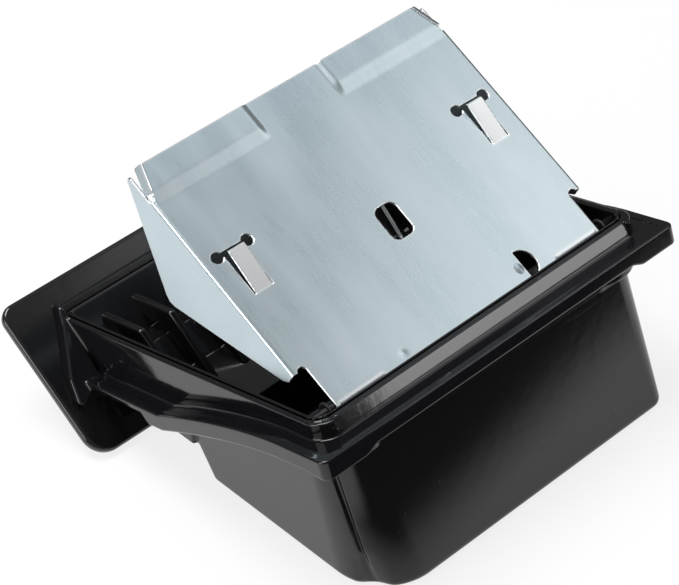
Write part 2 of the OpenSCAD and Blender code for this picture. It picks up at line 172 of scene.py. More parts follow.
def shade_by_field(mesh, field, place):
    """Takes each point's normal from the field, so flat walls reflect flat and edges stay crisp."""
    co = points_of(mesh)
    step = 0.12
    normals = np.empty_like(co)
    for i in range(3):
        up, down = co.copy(), co.copy()
        up[:, i] += step
        down[:, i] -= step
        normals[:, i] = field(*up.T) - field(*down.T)
    mesh.transform(place)
    normals = normals @ np.array(place.to_3x3()).T
    normals /= np.linalg.norm(normals, axis=1)[:, None] + 1e-12
    mesh.polygons.foreach_set("use_smooth", [True] * len(mesh.polygons))
    mesh.normals_split_custom_set_from_vertices(normals.tolist())


def linked(name, data):
    """An object with that mesh, lamp or lens, put in the scene."""
    piece = bpy.data.objects.new(name, data)
    bpy.context.scene.collection.objects.link(piece)
    return piece


def applied(piece):
    """A piece's mesh, once its modifiers are worked into it."""
    graph = bpy.context.evaluated_depsgraph_get()
    piece.data = bpy.data.meshes.new_from_object(piece.evaluated_get(graph))
    piece.modifiers.clear()
    piece.data.name = piece.name
    return piece.data


def moulded(name, field, low, high, pitch, keep, place):
    """A closed mesh of the surface where the field is zero, thinned to a share of its faces."""
    axes = [np.arange(a, b + pitch, pitch) for a, b in zip(low, high)]
    x, y, z = axes[0][:, None, None], axes[1][None, :, None], axes[2][None, None, :]
    values = np.broadcast_to(field(x, y, z), [len(a) for a in axes])
    values = np.ascontiguousarray(values, np.float32)
    reach = 3 * pitch
    grid = openvdb.FloatGrid(background=float(reach))
    grid.copyFromArray(np.clip(values, -reach, reach))
    points, triangles, quads = grid.convertToPolygons(isovalue=0.0, adaptivity=0.0)
    points = points * pitch + np.array([a[0] for a in axes])
    mesh = bpy.data.meshes.new(name)
    mesh.from_pydata(points.tolist(), [], quads.tolist() + triangles.tolist())
    mesh.update()
    piece = linked(name, mesh)
    piece.modifiers.new("thin", "DECIMATE").ratio = keep
    shade_by_field(applied(piece), field, place)
    return piece


def shallow_part(x, y, z, inset):
    """The part under the lip, drawn past the near wall and the lip, which cut it off."""
    out = WALL - inset
    end = MOUTH_LENGTH - inset / math.cos(FASCIA_LEAN)
    side = outline(y, z, [
        (-9, 10), (-9, -LOW_EDGE), (SHELF_NEAR - 4 - 1.1 * out, -LOW_EDGE),
        (SHELF_NEAR - 0.9 * out, -SHELF_LOW - out), (SLOPE_Y + 0.4 * out, -SLOPE_LOW - out),
        (SHELF_Y + 0.4 * out, -SHELF_DEPTH - out),
        (end - (SHELF_DEPTH + out) * FASCIA_RUN, -SHELF_DEPTH - out), (end + 10 * FASCIA_RUN, 10)])
    return soft_max(plan(x, y, MOUTH_HALF + out, -out, LIP_CORNER + out), side, BLEND)


def deep_part(x, y, z, inset):
    """The drafted box, whose far wall meets the shelf half way up."""
    base = (BASE_FILLET - LIP_HEIGHT + y * math.sin(MOUTH_TILT)) / math.cos(MOUTH_TILT)
    t = np.clip((z - base) / (DEEP_TOP - base), 0, 1)
    side = np.abs(x) - (BASE_HALF + (BIN_HALF - BASE_HALF) * t) + inset
    near = (BASE_NEAR + (-WALL - BASE_NEAR) * t) - y + inset
    far = y - (DEEP_FAR + (SHELF_NEAR + WALL - DEEP_FAR) * np.clip(t * 2, 0, 1)) + inset
    base_corner = np.where(x < 0, LEFT_CORNER, RIGHT_CORNER)
    corner = base_corner + (TOP_CORNER - base_corner) * t - inset
    walls = np.maximum(round_corner(side, near, corner), round_corner(side, far, FAR_CORNER - inset))
    below = inset - height_over_base(y, z)
    return np.maximum(round_corner(walls, below, BASE_FILLET - inset), z - DEEP_TOP)


def corner_pads(x, y, z):
    """The two pads that stand out under the frame's near corners."""
    disc = np.hypot(np.abs(x) - BIN_HALF + TOP_CORNER - PAD_SHIFT,
                    y - TOP_CORNER + WALL + PAD_SHIFT) - PAD_R
    return soft_max(disc, np.abs(z + LOW_EDGE - PAD_HALF) - PAD_HALF, BLEND)


def pin_webs(x, y, z):
    """The two webs on the near wall that carry the spring's pin."""
    side = outline(y, z, [(-2, -7.5), (PIN_Y, -7.5), (PIN_Y + 2.6, -12), (-2, -30)])
    web = soft_min(np.hypot(y - PIN_Y, z - PIN_Z) - WEB_EYE_R, side, WEB_EDGE)
    left, right = (soft_max(web, np.abs(x - at) - WEB_HALF, WEB_EDGE) for at in WEB_X)
    return np.minimum(left, right)


def bin_field(x, y, z):
    groove, flute = cone(x, y, z, *GROOVE), cone(x, y, z, *FLUTE)
    outer = soft_min(shallow_part(x, y, z, 0), deep_part(x, y, z, 0), BLEND)
    outer = soft_min(outer, corner_pads(x, y, z), BLEND)
    outer = soft_max(outer, -groove, BLEND)
    outer = soft_max(outer, -flute, 2.5)
    inner = soft_min(shallow_part(x, y, z, WALL), deep_part(x, y, z, WALL), BLEND)
    inner = np.maximum(inner, WALL - np.minimum(groove, flute))
    shell = soft_max(outer, -inner, CRISP)
    # the webs end inside the wall, so that their soft joint doesn't swell its outer face
    shell = soft_min(shell, np.maximum(pin_webs(x, y, z), outer + 0.9), BLEND)
    band = plan(x, y, MOUTH_HALF + LIP_BAND, -LIP_BAND, LIP_CORNER + LIP_BAND)
    band = soft_max(band, -z - LIP_BAND_DEPTH, CRISP)
    band = np.maximum(band, -plan(x, y, MOUTH_HALF, 0, LIP_CORNER))
    shell = np.minimum(shell, np.maximum(band, past_fascia(y, z) + 0.05))
    shell = soft_max(shell, z, EDGE)
    rod = np.maximum(np.hypot(y - HINGE_Y, z - HINGE_Z) - ROD_R, MOUTH_HALF - 1 - np.abs(x))
    pin = np.maximum(np.hypot(y - PIN_Y, z - PIN_Z) - PIN_R,
                     np.abs(x - (PIN_LEFT + PIN_RIGHT) / 2) - ((PIN_RIGHT - PIN_LEFT) / 2 + 0.6))
    return np.maximum(np.maximum(shell, -rod), -pin)


bin_body = moulded("bin_body", bin_field, low=(-60, -8, -59), high=(60, 113, 1.5),
                   pitch=0.5, keep=0.35, place=mouth)
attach(bin_body, "tray")
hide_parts("bin_shell")


def add_node(tree, kind, feeds=None, **settings):
    """A node with its settings, and what feeds its inputs: values or other nodes' outputs."""
    node = tree.nodes.new(kind)
    for key, value in settings.items():
        setattr(node, key, value)
    for key, value in (feeds or {}).items():
        if isinstance(value, bpy.types.NodeSocket):
            tree.links.new(value, node.inputs[key])
        else:
            node.inputs[key].default_value = value
    return node


def sums(tree, operation, a, b):
    """Two values, each a number or an output, worked into one."""
    return add_node(tree, "ShaderNodeMath", {0: a, 1: b}, operation=operation).outputs[0]


def ramp(tree, value, start, end, low=0, high=1, **settings):
    """Goes from low to high as the value goes from start to end."""
    feeds = {"Value": value, "From Min": start, "From Max": end, "To Min": low, "To Max": high}
    return add_node(tree, "ShaderNodeMapRange", feeds, **settings).outputs["Result"]


def mixed(tree, factor, low, high):
    """One colour or number that goes from low to high as the factor goes from 0 to 1."""
    if isinstance(high, tuple):
        feeds = {0: factor, 6: low, 7: high}
        return add_node(tree, "ShaderNodeMix", feeds, data_type="RGBA").outputs[2]
    return ramp(tree, factor, 0, 1, low, high)


def noise(tree, place, scale, detail, **feeds):
    """Soft noise over a place, as one value."""
    feeds = {"Vector": place, "Scale": scale, "Detail": detail, **feeds}
    return add_node(tree, "ShaderNodeTexNoise", feeds).outputs[0]


def stretched(tree, place, **feeds):
    """The place, turned and scaled before a texture reads it."""
    return add_node(tree, "ShaderNodeMapping", {"Vector": place, **feeds}).outputs[0]


def shader_group(name, mask):
    """A shader group that will put out a mask for the colour, a roughness and a height."""
    tree = bpy.data.node_groups.new(name, "ShaderNodeTree")
    for label in (mask, "Roughness", "Height"):
        tree.interface.new_socket(label, in_out="OUTPUT", socket_type="NodeSocketFloat")
    return tree, tree.nodes.new("ShaderNodeTexCoord").outputs["Object"]


def close_group(tree, *values):
    """Joins the values to the group's outputs, in their order."""
    add_node(tree, "NodeGroupOutput", dict(enumerate(values)))


def surfaced(name, skin, colours, roughness, bump, depth):
    """A material over a shared skin: two tones, two grades of gloss and a bump."""
    material = bpy.data.materials.new(name)
    material.use_nodes = True
    tree = material.node_tree
    shader = tree.nodes["Principled BSDF"]
    group = add_node(tree, "ShaderNodeGroup", node_tree=skin)
    relief = add_node(tree, "ShaderNodeBump", {
        "Height": group.outputs["Height"], "Strength": bump, "Distance": depth})
    tree.links.new(mixed(tree, group.outputs[0], *colours), shader.inputs["Base Color"])
    tree.links.new(mixed(tree, group.outputs["Roughness"], *roughness), shader.inputs["Roughness"])
    tree.links.new(relief.outputs[0], shader.inputs["Normal"])
    return material, shader


# the skin of the gloss mouldings: faint orange peel, hairline rubs and a little settled dust
skin, at = shader_group("moulded skin", "Dust")
peel = noise(skin, at, 260, 2)
rubs = noise(skin, stretched(skin, at, Rotation=(0.4, 0.2, 0.9), Scale=(30, 700, 700)), 1, 3)
specks = add_node(skin, "ShaderNodeTexVoronoi", {"Vector": at, "Scale": 420})
near_speck = ramp(skin, specks.outputs["Distance"], 0.1, 0.04)
settled = ramp(skin, noise(skin, at, 38, 3), 0.56, 0.72)
dust = sums(skin, "MULTIPLY", near_speck, settled)
faint_rubs = sums(skin, "MULTIPLY", ramp(skin, rubs, 0.66, 0.74), 0.25)
close_group(skin, dust, sums(skin, "MAXIMUM", dust, faint_rubs), peel)


def gloss_black(name, shine, tint, peel_depth):
    """A gloss black moulding: the shared skin over one colour, dulled and greyed by dust."""
    grey, dull = (0.16, 0.16, 0.155, 1), 0.5
    material, shader = surfaced(name, skin, (tint, grey), (shine, dull), peel_depth, 0.0001)
    shader.inputs["IOR"].default_value = 1.55
    return material


bin_black = gloss_black("bin plastic", 0.12, (0.0045, 0.0045, 0.005, 1), 0.25)
bin_body.data.materials.append(bin_black)

# ---------------------------------------------------------------------------
# The shelf's ribs: six upright webs of the same moulding, three on each side. Their slanted
# near ends catch the closing flap, and their tops are rounded by the mould.
# ---------------------------------------------------------------------------
RIB_WALL = 2.5
RIB_FIRST = 24.6
RIB_PITCH = 10.7
RIB_TOP = 4.3
RIB_ROUND = 0.8
rib_side = [(87.2, -RIB_TOP), (74.2, -23.8), (74.8, -24.4), (84.2, -21.6), (92.2, -13.1),
            (99.5, -13.1), (106, -RIB_TOP)]


def rounded_prism(name, side, width, bevel):
    """An outline in y and z, given a width along x, with its edges rounded over."""
    bm = bmesh.new()
    faces = []
    for x in (-width / 2, width / 2):
        faces.append([bm.verts.new((x, y, z)) for y, z in side])
    bm.faces.new(faces[0])
    bm.faces.new(faces[1][::-1])
    for i in range(len(side)):
        j = (i + 1) % len(side)
        bm.faces.new((faces[0][j], faces[0][i], faces[1][i], faces[1][j]))
    bmesh.ops.recalc_face_normals(bm, faces=bm.faces)
    bmesh.ops.bevel(bm, geom=list(bm.edges), offset=bevel, segments=3, profile=0.5, affect="EDGES")
    mesh = bpy.data.meshes.new(name)
    bm.to_mesh(mesh)
    bm.free()
    mesh.polygons.foreach_set("use_smooth", [True] * len(mesh.polygons))
    return linked(name, mesh)


def geometry_tree(name, **inputs):
    """A Geometry Nodes tree with a geometry in and out, the named inputs and a material."""
    tree = bpy.data.node_groups.new(name, "GeometryNodeTree")
    tree.interface.new_socket("Geometry", in_out="INPUT", socket_type="NodeSocketGeometry")
    for label, kind in {**inputs, "Material": "Material"}.items():
        tree.interface.new_socket(label, in_out="INPUT", socket_type="NodeSocket" + kind)
    tree.interface.new_socket("Geometry", in_out="OUTPUT", socket_type="NodeSocketGeometry")
    return tree, tree.nodes.new("NodeGroupInput").outputs


def finish_tree(tree, geometry, given):
    """Every tree ends by making its copies real and giving them their material."""
    real = add_node(tree, "GeometryNodeRealizeInstances", {0: geometry})
    paint = add_node(tree, "GeometryNodeSetMaterial", {
        "Geometry": real.outputs[0], "Material": given["Material"]})
    add_node(tree, "NodeGroupOutput", {0: paint.outputs[0]})


def along_x(tree, value, side):
    """A point that far out along x, or its mirror image where the side is -1."""
    return add_node(tree, "ShaderNodeCombineXYZ", {
        "X": sums(tree, "MULTIPLY", value, side)}).outputs[0]


def copied(tree, points, piece, turn=(0, 0, 0)):
    """One copy of the piece at every point."""
    return add_node(tree, "GeometryNodeInstanceOnPoints", {
        "Points": points, "Instance": piece, "Rotation": turn}).outputs[0]


def grown(piece, tree, place, **values):
    """Runs a tree on a piece and leaves a plain mesh at the origin."""
    modifier = piece.modifiers.new("grow", "NODES")
    modifier.node_group = tree
    for item in tree.interface.items_tree:
        if item.in_out == "INPUT" and item.name.lower() in values:
            modifier[item.identifier] = values[item.name.lower()]
    applied(piece).transform(place)
    return piece


tree, given = geometry_tree("rows of ribs", First="Float", Pitch="Float", Count="Int")
rows = tree.nodes.new("GeometryNodeJoinGeometry")
for side in (-1, 1):
    row = add_node(tree, "GeometryNodeMeshLine", {
        "Count": given["Count"], "Start Location": along_x(tree, given["First"], side),
        "Offset": along_x(tree, given["Pitch"], side)}, mode="OFFSET")
    tree.links.new(row.outputs[0], rows.inputs[0])
finish_tree(tree, copied(tree, rows.outputs[0], given["Geometry"]), given)

shelf_ribs = rounded_prism("shelf_ribs", rib_side, RIB_WALL, RIB_ROUND)
shelf_ribs = grown(shelf_ribs, tree, mouth, first=RIB_FIRST, pitch=RIB_PITCH, count=3,
                   material=bin_black)
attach(shelf_ribs, "tray")
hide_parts("bin_shell")

# ---------------------------------------------------------------------------
# The rim frame: a second gloss black moulding that the bin hangs in. A ring stands round
# the mouth, a stepped flange with a hanging skirt runs along the near rim and both arms,
# and a three-cornered web ties each arm to the fascia.
# ---------------------------------------------------------------------------
FLANGE_HALF = 63.2
FLANGE_FRONT = 10.5
FLANGE_WALL = 1.5
FLANGE_CORNER = 2.4
INNER_CORNER = 1.7
BAND_WIDTH = 2.9
BAND_STEP = 0.4
STEP_CORNER = 2.2
FINE = 0.2

# the land runs level along the near rim, then curls down along the arms
LAND_DEPTH = 5.1
ARM_DEPTH = 14.6
CURL_START, CURL_END = 8, 62
CURL_POWER = 1.55

# the ring, its fine parting line, and the sloped face that it turns to the near rim
RING_WALL = 2.9
RING_HALF = MOUTH_HALF + RING_WALL
RING_FRONT = 4.2
RING_LOW = 0.4
PART_GAP = 0.15
PART_R = 0.22
FACE_RUN, FACE_DROP = 1.4, 4.3
FACE_BACK, FACE_LOW = 0.6, 0.5
FACE_END = 5

# the skirt drops in an S at the two near corners and tapers out along the arms
SKIRT = 4.7
NEAR_SKIRT = 8.9
CORNER_SKIRT = 10.4
DROP_X, DROP_RUN = 45.5, 5
RISE_Y, RISE_RUN = -6, 4
NEAR_FACE = -9
SKIRT_END = 72
TAPER = 5

# each web, seen along the arm, and where it stands before the fascia
tie_side = [(56.6, 1.8), (59.2, -14), (67.3, -17.5), (65.6, -12.6), (58.3, -1.6)]
TIE_ROUND = 0.9
TIE_BACK, TIE_HALF = 1.6, 1.55


def land_height(y):
    """The height of the flange's top face."""
    t = np.clip((y - CURL_START) / (CURL_END - CURL_START), 0, 1)
    return -LAND_DEPTH - (ARM_DEPTH - LAND_DEPTH) * t ** CURL_POWER


def eased(t):
    """Goes from 0 to 1 in a soft S."""
    t = np.clip(t, 0, 1)
    return t * t * (3 - 2 * t)


def skirt_edge(x, y):
    """The height of the skirt's lower edge."""
    near = -NEAR_SKIRT - (CORNER_SKIRT - NEAR_SKIRT) * eased((np.abs(x) - DROP_X) / DROP_RUN)
    rise = (CORNER_SKIRT - LAND_DEPTH - SKIRT) * eased((y - RISE_Y) / RISE_RUN)
    arm = np.minimum(land_height(y) - SKIRT, -CORNER_SKIRT + rise)
    arm = arm + SKIRT * eased((y - SKIRT_END + TAPER) / TAPER) ** 1.5
    return np.where(y < NEAR_FACE, near, arm)


def frame_field(x, y, z):
    slope = np.sqrt(1 + (land_height(y + 0.5) - land_height(y - 0.5)) ** 2)
    over_land = (z - land_height(y)) / slope
    fascia = past_fascia(y, z)
    outer = plan(x, y, FLANGE_HALF, -FLANGE_FRONT, FLANGE_CORNER)
    flange = soft_max(outer, over_land - BAND_STEP, EDGE)
    flange = np.maximum(flange, -over_land - FLANGE_WALL)
    step = plan(x, y, FLANGE_HALF - BAND_WIDTH, -FLANGE_FRONT + BAND_WIDTH - 0.5, STEP_CORNER)
    flange = soft_max(flange, -soft_max(step, -over_land, FINE), FINE)
    inside = plan(x, y, FLANGE_HALF - FLANGE_WALL, -FLANGE_FRONT + FLANGE_WALL, INNER_CORNER)
    skirt = soft_max(outer, -inside, CRISP)
    skirt = soft_max(skirt, (skirt_edge(x, y) - z) * 0.85, EDGE)
    skirt = soft_max(skirt, over_land - BAND_STEP, EDGE)
    body = np.minimum(flange, np.maximum(skirt, y - SKIRT_END))
    ring = plan(x, y, RING_HALF, -RING_FRONT, LIP_CORNER + RING_WALL)
    line = np.abs(plan(x, y, MOUTH_HALF + LIP_BAND + PART_GAP, -LIP_BAND - PART_GAP,
                       LIP_CORNER + LIP_BAND + PART_GAP))
    top = soft_max(z + RING_LOW, PART_R - np.hypot(line, z + RING_LOW), FINE)
    ring = soft_max(ring, top, 0.4)
    ring = np.maximum(ring, -over_land - FLANGE_WALL)
    near_face = (z + FACE_LOW) * FACE_RUN - (y + LIP_BAND + FACE_BACK) * FACE_DROP
    near_face = near_face / math.hypot(FACE_RUN, FACE_DROP)
    ring = soft_max(ring, np.minimum(near_face, RING_HALF - FACE_END - np.abs(x)), CRISP)
    body = soft_min(body, ring, 0.7)
    body = soft_max(body, -plan(x, y, BIN_HALF, -WALL, LIP_CORNER + WALL), FINE)
    tie = outline(np.abs(x), z, tie_side) - TIE_ROUND
    tie = soft_max(tie, np.abs(fascia + TIE_BACK) - TIE_HALF, EDGE)
    body = soft_min(body, tie, EDGE)
    return np.maximum(body, fascia + 0.02)


rim_frame = moulded("rim_frame_body", frame_field, low=(-69, -12, -22), high=(69, 113, 3.4),
                    pitch=0.36, keep=0.35, place=mouth)
rim_frame.data.materials.append(
    gloss_black("frame plastic", 0.08, (0.0045, 0.0045, 0.0055, 1), 0.2))
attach(rim_frame, "tray")
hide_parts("rim_frame")

# ---------------------------------------------------------------------------
# The fascia: a 3.2 mm gloss black panel that leans outward behind the mouth. Its edges are
# bull-nosed, and a low rail along it closes the gap behind the bin's lip. Two screws from
# the bin hold it.
# ---------------------------------------------------------------------------
PANEL_HALF = 71.6
PANEL_TOP = 9.3
PANEL_LOW = PANEL_TOP - 49.2
PANEL_WALL = 3.2
PANEL_TOP_R = 4.5
PANEL_LOW_R = 7
NOSE_R = 1.1
RAIL_TOP, RAIL_HALF = 1.7, 1.2
SCREW_X, SCREW_V = 12, -8
SCREW_R = 1.1
SCREW_HOLE = 2.4

# x along the panel, y up it, and z out of the face that looks at the mouth
panel = (mouth @ Matrix.Translation((0, MOUTH_LENGTH, 0))
         @ Matrix.Rotation(math.radians(90) - FASCIA_LEAN, 4, "X"))


def panel_field(x, v, w):
    side = np.abs(x) - PANEL_HALF
    edge = np.where(v > (PANEL_TOP + PANEL_LOW) / 2, round_corner(side, v - PANEL_TOP, PANEL_TOP_R),
                    round_corner(side, PANEL_LOW - v, PANEL_LOW_R))
    body = round_corner(edge, np.abs(w + PANEL_WALL / 2) - PANEL_WALL / 2, NOSE_R)
    height = v * math.cos(FASCIA_LEAN) + w * math.sin(FASCIA_LEAN)
    rail = soft_max(np.abs(x) - RING_HALF, np.abs(w) - RAIL_HALF, 0.4)
    rail = soft_max(rail, np.maximum(v - RAIL_TOP, -height - 0.3), CRISP)
    body = soft_min(body, rail, 0.5)
    screw = np.hypot(np.abs(x) - SCREW_X, v - SCREW_V) - SCREW_R
    return np.maximum(body, -np.maximum(screw, -SCREW_HOLE - w))


fascia = moulded("fascia_body", panel_field, low=(-73, -41.5, -4.4), high=(73, 10.8, 3.6),
                 pitch=0.4, keep=0.3, place=panel)
fascia.data.materials.append(gloss_black("fascia plastic", 0.13, (0.0045, 0.0045, 0.005, 1), 0.2))
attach(fascia, "tray")
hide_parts("fascia_panel")

# ---------------------------------------------------------------------------
# The flap: 0.8 mm zinc-plated sheet, blanked and folded. The sides are folded down, two
# corner tabs are joggled up, two tongues are lanced up between relief holes, and the heel
# is rolled round the hinge rod. Its blanked edges are painted bright, partly as bare steel
# and partly as a painted highlight, and the tongues are painted bright all over as a highlight.
# ---------------------------------------------------------------------------
FLAP_RISE = math.radians(43.7)
SHEET = 0.8
ROD_PLAY = 0.05
MID = ROD_R + ROD_PLAY + SHEET / 2
BEND_X = 50.5
BEND_R = 0.7
SHEAR = 0.12
HEEL = -1.9
HEEL_HALF = 47.2
KNUCKLE_X, KNUCKLE_HALF = 38.5, 7.5
FLAP_END = 79.1
NOTCH = 11.7
NOTCH_R = 1.2
TAB_START = 69.9
TAB_IN, TAB_OUT = 13, 50.4
TAB_SLANT = 3
TAB_RISE = 0.6
TAB_LEAN = (0.77, 0.64)
HOOK_X = 42.05
HOOK_ROOT, HOOK_END = 34.6, 47.7
TONGUE_HALF, TONGUE_SLOT = 2.7, 2.95
TONGUE_RISE = 2.4
RELIEF_X, RELIEF_R = 4.95, 1.6
SLIT_HALF = 0.5
WINDOW_S, WINDOW_R = 31.4, 2.2
WINDOW_HALF_X, WINDOW_HALF_S = 3.5, 5.1
LUG_X, LUG_S, LUG_R = 21.5, 2.8, 4.3
DIMPLE_X, DIMPLE_S, DIMPLE_DEPTH = -22.9, 1.1, 0.15
DART_X, DART_S, DART_RISE = 19.9, 2.6, 0.35

# x across the flap, s up the sheet from the rod's axis, and z square to it
hinge_place = mouth @ Matrix.Translation((0, HINGE_Y, HINGE_Z))
flap = hinge_place @ Matrix.Rotation(FLAP_RISE, 4, "X")


def slab(a, middle, half):
    """A slab of that half width round its middle."""
    return np.abs(a - middle) - half


def tab_edge(ax, s):
    """The slanted outer edge of a corner tab."""
    return ax - TAB_OUT + TAB_SLANT * (s - TAB_START) / (FLAP_END - TAB_START)


def blank(x, s):
    """The flat outline of the sheet between its folds, negative inside."""
    ax = np.abs(x)
    main = np.maximum(np.maximum(NOTCH - s, s - TAB_START - 0.6), ax - 52)
    heel = np.maximum(round_corner(ax - HEEL_HALF, HEEL - s, 1.5), s - NOTCH - 1)
    tabs = np.maximum(np.maximum(tab_edge(ax, s), 60 - s), s - FLAP_END)
    shape = np.minimum(np.minimum(main, heel), tabs)
    shape = np.maximum(shape, NOTCH_R - np.hypot(ax - HEEL_HALF - 1.3, s - NOTCH + 0.2))
    shape = np.maximum(shape, -np.maximum(slab(ax, KNUCKLE_X, KNUCKLE_HALF), s))
    for reach in (-RELIEF_X, RELIEF_X):
        shape = np.maximum(shape, RELIEF_R - np.hypot(ax - HOOK_X - reach, s - HOOK_END))
    slit = np.maximum(slab(ax, HOOK_X, RELIEF_X), slab(s, HOOK_END, SLIT_HALF))
    slot = np.maximum(slab(ax, HOOK_X, TONGUE_SLOT), np.maximum(HOOK_ROOT - s, s - HOOK_END))
    window = round_corner(slab(x, 0, WINDOW_HALF_X), slab(s, WINDOW_S, WINDOW_HALF_S), WINDOW_R)
    half_disc = np.maximum(np.hypot(x - LUG_X, s - LUG_S) - LUG_R, LUG_X - x)
    for hole in (slit, slot, window, half_disc):
        shape = np.maximum(shape, -hole)
    return shape


def side_blank(s, z):
    """The outline of a folded side, which is deepest two thirds of the way up."""
    top = MID + SHEET / 2
    return outline(s, z, [
        (NOTCH, 6), (NOTCH, top - 3.6), (NOTCH + 1.6, top - 5.6), (50, top - 26.5),
        (51.9, top - 26.9), (53.8, top - 26), (FLAP_END - 0.9, top - 3.2),
        (FLAP_END - 0.7, top - 1.9), (FLAP_END - 1.6, top - 1.2), (TAB_START - 0.6, top - 1.2),
        (TAB_START - 0.6, 6)])


def pressed_mid(x, s):
    """The height of the sheet's middle: flat, with a dimple, a dart and the joggled tabs."""
    dimple = DIMPLE_DEPTH * np.exp(-((x - DIMPLE_X) ** 2 + (s - DIMPLE_S) ** 2) / 0.8)
    dart = DART_RISE * np.clip(1 - np.hypot((x - DART_X) / 1.3, (s - DART_S) / 1.7), 0, 1)
    rise = eased((s - TAB_START + 3) / 5) * eased((np.abs(x) - TAB_IN + 1.2) / 2.4)
    return MID - dimple + dart + TAB_RISE * rise


def flap_field(x, s, z):
    ax = np.abs(x)
    level = np.abs(z - pressed_mid(x, s))
    bend = np.abs(np.hypot(ax - BEND_X, z - MID + BEND_R) - BEND_R)
    upright = np.abs(ax - BEND_X - BEND_R)
    section = np.where(ax < BEND_X, level, np.where(z > MID - BEND_R, bend, upright))
    under = (ax < BEND_X) & (z < MID - BEND_R)
    section = np.where(under, np.minimum(level, upright), section)
    cut = np.where(ax > BEND_X - 0.05, side_blank(s, z), blank(x, s))
    body = soft_max(section - SHEET / 2, cut, SHEAR)
    # the tabs' narrow sides, turned down
    edge, drop = tab_edge(ax, s), MID + 1.1 - z
    down = edge * TAB_LEAN[0] + drop * TAB_LEAN[1]
    through = edge * TAB_LEAN[1] - drop * TAB_LEAN[0]
    fold = np.maximum(slab(down, 0.9, 1.3), np.abs(through) - 0.3)
    body = np.minimum(body, np.maximum(fold, np.abs(s - FLAP_END + 4) - 4))
    # the heel rolled round the rod, open just under the sheet
    knuckle = slab(ax, KNUCKLE_X, KNUCKLE_HALF)
    roll = np.abs(np.hypot(s, z) - MID) - SHEET / 2
    gap = np.maximum(np.maximum(0.05 * s - z, z - 0.19 * s), -s)
    roll = np.maximum(np.maximum(roll, -gap), knuckle)
    neck = np.maximum(np.maximum(slab(s, 1, 1.2), slab(z, MID, SHEET / 2)), knuckle)
    body = np.minimum(body, np.minimum(roll, neck))
    # the lanced tongues
    run = (s - HOOK_ROOT) / (HOOK_END - 0.9 - HOOK_ROOT)
    tongue_mid = MID + TONGUE_RISE * np.clip(run, 0, 1.2)
    ends = np.maximum(HOOK_ROOT - 0.4 - s, s - HOOK_END + SLIT_HALF)
    tongue = np.maximum(slab(ax, HOOK_X, TONGUE_HALF), ends)
    body = np.minimum(body, soft_max(np.abs(z - tongue_mid) - SHEET / 2, tongue, SHEAR))
    # the half disc folded down out of the heel
    lug = np.maximum(np.hypot(s - LUG_S, z - MID + SHEET / 2) - LUG_R, z - MID - 0.2)
    lug = soft_max(lug, np.abs(x - LUG_X + SHEET / 2) - SHEET / 2, SHEAR)
    body = np.minimum(body, lug)
    return np.maximum(body, ROD_R + ROD_PLAY - np.hypot(s, z))


flap_body = moulded("flap_body", flap_field, low=(-52.4, -4.4, -26.4), high=(52.4, 80, 5.2),
                    pitch=0.3, keep=0.3, place=flap)

# how close each point is to the blanked edges, for a bright line there that is partly bare steel left
# by the shears and partly a painted highlight
to_flap = np.array(flap.inverted())
x, s, z = (points_of(flap_body.data) @ to_flap[:3, :3].T + to_flap[:3, 3]).T
cut = np.abs(np.where(np.abs(x) > BEND_X - 0.05, side_blank(s, z), blank(x, s)))
# the lanced tongues are marked all over, so they get a painted highlight brighter than the zinc round
# them
tongue = np.abs(np.abs(x) - HOOK_X) < TONGUE_HALF + 0.05
tongue = tongue & (np.abs(s - (HOOK_ROOT + HOOK_END) / 2 - 0.4) < 6.9) & (z > MID)
cut = np.where(tongue, 0, cut)
edge_and_highlight_mark = flap_body.data.attributes.new("blanked edge and painted highlight", "FLOAT", "POINT")
edge_and_highlight_mark.data.foreach_set("value", np.clip(1.2 - cut / 0.45, 0, 1).astype(np.float32))

# the skin of drawn and plated steel: fine grain along the sheet, soft clouds and streaks
grain, at = shader_group("steel grain", "Cloud")
fine = noise(grain, stretched(grain, at, Scale=(900, 160, 160)), 1, 4)
flow = stretched(grain, at, Rotation=(0.5, 0, 0.35), Scale=(55, 14, 14))
clouds = ramp(grain, noise(grain, flow, 1, 3, Roughness=0.6), 0.3, 0.7)
both = add_node(grain, "ShaderNodeMix", {0: 0.5, 2: fine, 3: clouds}, data_type="FLOAT")
close_group(grain, clouds, both.outputs[0], fine)


def steel(name, dull, bright, smooth, rough, metallic=1):
    """Plated or drawn steel: the shared grain between two tones."""
    material, shader = surfaced(name, grain, (dull, bright), (smooth, rough), 0.12, 0.00005)
    shader.inputs["Metallic"].default_value = metallic
    return material


zinc = steel("flap zinc", (0.52, 0.62, 0.665, 1), (0.68, 0.775, 0.815, 1), 0.23, 0.34)
tree = zinc.node_tree
colour = tree.nodes["Principled BSDF"].inputs["Base Color"]
# marked points are painted near white: the blanked edges partly as bare steel and partly as a painted
# highlight, the tongues wholly as a painted highlight
edge_and_painted_highlight = add_node(tree, "ShaderNodeAttribute", attribute_name="blanked edge and painted highlight").outputs["Fac"]
bright = mixed(tree, edge_and_painted_highlight, colour.links[0].from_socket, (0.95, 0.97, 0.98, 1))
tree.links.new(bright, colour)
flap_body.data.materials.append(zinc)
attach(flap_body, "flap")
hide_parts("flap_plate")

# ---------------------------------------------------------------------------
# The hinge rod and the spring's pin: drawn steel, pressed through the bin's walls
# and webs. Their colour is painted near black, as painted shade, for they lie in the shade of the
# flap; their ends are chamfered.
# ---------------------------------------------------------------------------
ROD_HALF = BIN_HALF - 0.5
CHAMFER = 0.25
# drawn steel painted near black: painted shade for the rod and pin, which lie under the flap
rod_steel_painted_shade = steel("rod steel painted near black as shade", (0.018, 0.018, 0.019, 1), (0.03, 0.03, 0.031, 1), 0.45, 0.6)


